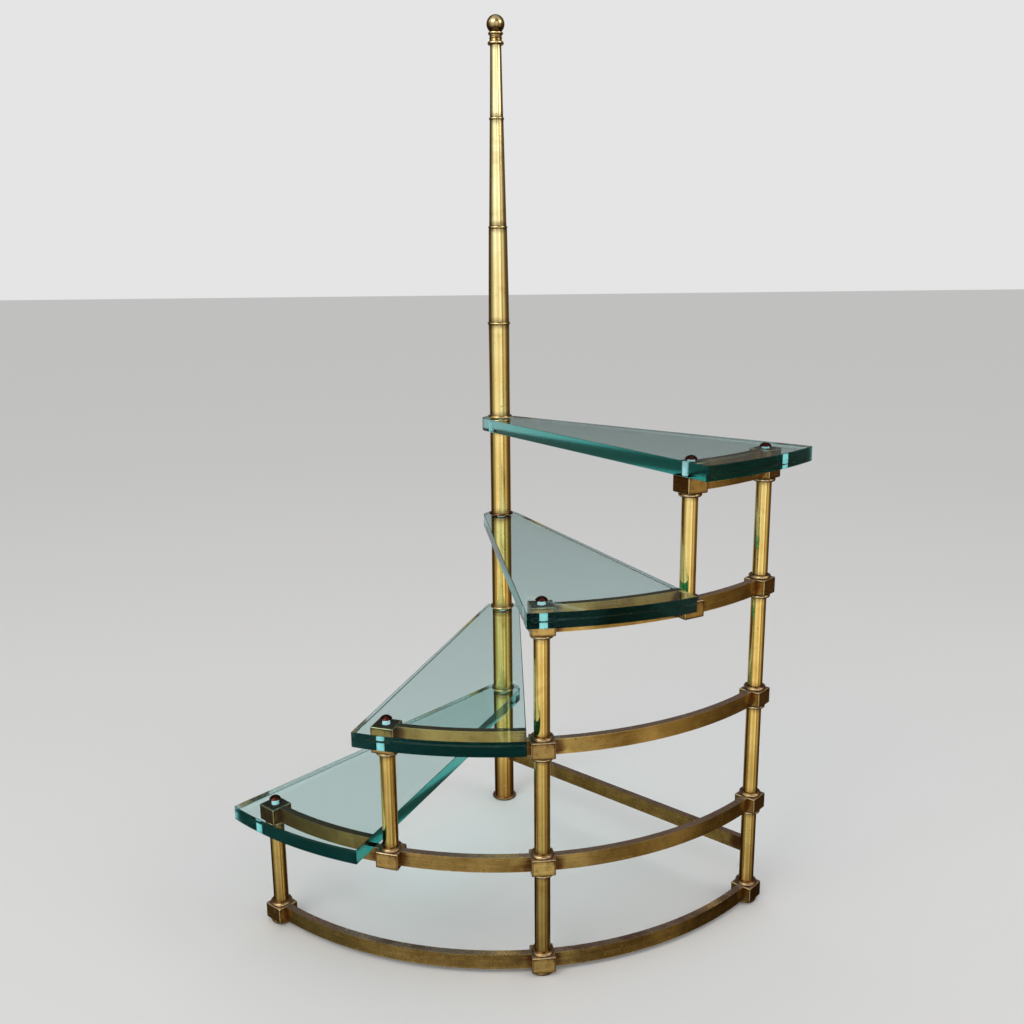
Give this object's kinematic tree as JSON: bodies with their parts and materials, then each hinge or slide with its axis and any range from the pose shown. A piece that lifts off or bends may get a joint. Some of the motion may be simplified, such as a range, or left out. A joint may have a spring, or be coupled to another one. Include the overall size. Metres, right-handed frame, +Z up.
{
  "type": "etagere",
  "caption": "Spiral stair etagere: pie-shaped clear glass steps climb round a tall brass pole with a ball finial, on brass posts tied by flat curved bars.",
  "frame": {"origin": "on the floor at the centre of the pole's foot", "axes": "+Z up along the pole; -Y towards the middle post that stands straight in front of the pole; +X to the right as one faces the steps, towards the high end"},
  "size_m": [0.7556, 0.5332, 1.2286],
  "materials": {
    "tube_brass": "aged polish with fine lengthwise streaks and brown tarnish near the joints",
    "block_brass": "brushed, with rounded bright edges",
    "bar_brass": "drawn bar, brown heat tint beside the brazed joints",
    "turned_brass": "turned and polished, dark in the grooves",
    "glass": "clear plate with polished edges that look deep green",
    "screw_copper": "dark copper brown, polished dome",
    "zinc_steel": "zinc plated"
  },
  "bodies": {
    "root": {"arc_bar_a0_to_c0": "bar_brass", "arc_bar_a1_to_b1": "bar_brass", "arc_bar_b1_to_c1": "bar_brass", "arc_bar_b2_to_c2": "bar_brass", "arc_bar_c0_to_e0": "bar_brass", "arc_bar_c1_to_e1": "bar_brass", "arc_bar_c2_to_e2": "bar_brass", "arc_bar_c3_to_d3": "bar_brass", "arc_bar_d3_to_e3": "bar_brass", "arc_bar_d4_to_e4": "bar_brass", "block_a0": "block_brass", "block_a1": "block_brass", "block_b1": "block_brass", "block_b2": "block_brass", "block_c0": "block_brass", "block_c1": "block_brass", "block_c2": "block_brass", "block_c3": "block_brass", "block_d3": "block_brass", "block_d4": "block_brass", "block_e0": "block_brass", "block_e1": "block_brass", "block_e2": "block_brass", "block_e3": "block_brass", "block_e4": "block_brass", "finial": "turned_brass", "glass_screws": "screw_copper", "glass_step_1": "glass", "glass_step_2": "glass", "glass_step_3": "glass", "glass_step_4": "glass", "pole_collars": "turned_brass", "pole_foot": "turned_brass", "pole_joint_rings": "turned_brass", "pole_plugs": "tube_brass", "pole_taper_1": "tube_brass", "pole_taper_2": "tube_brass", "pole_taper_3": "tube_brass", "pole_tie_rod": "zinc_steel", "pole_tube_1": "tube_brass", "pole_tube_2": "tube_brass", "pole_tube_3": "tube_brass", "pole_tube_4": "tube_brass", "pole_tube_5": "tube_brass", "post_a_tube_0_to_1": "tube_brass", "post_b_tube_1_to_2": "tube_brass", "post_bead_rings": "turned_brass", "post_c_tube_0_to_1": "tube_brass", "post_c_tube_1_to_2": "tube_brass", "post_c_tube_2_to_3": "tube_brass", "post_d_tube_3_to_4": "tube_brass", "post_e_tube_0_to_1": "tube_brass", "post_e_tube_1_to_2": "tube_brass", "post_e_tube_2_to_3": "tube_brass", "post_e_tube_3_to_4": "tube_brass", "post_feet": "turned_brass", "post_nuts": "zinc_steel", "post_tie_rods": "zinc_steel", "stretcher_bar": "bar_brass"}
  },
  "joints": []
}
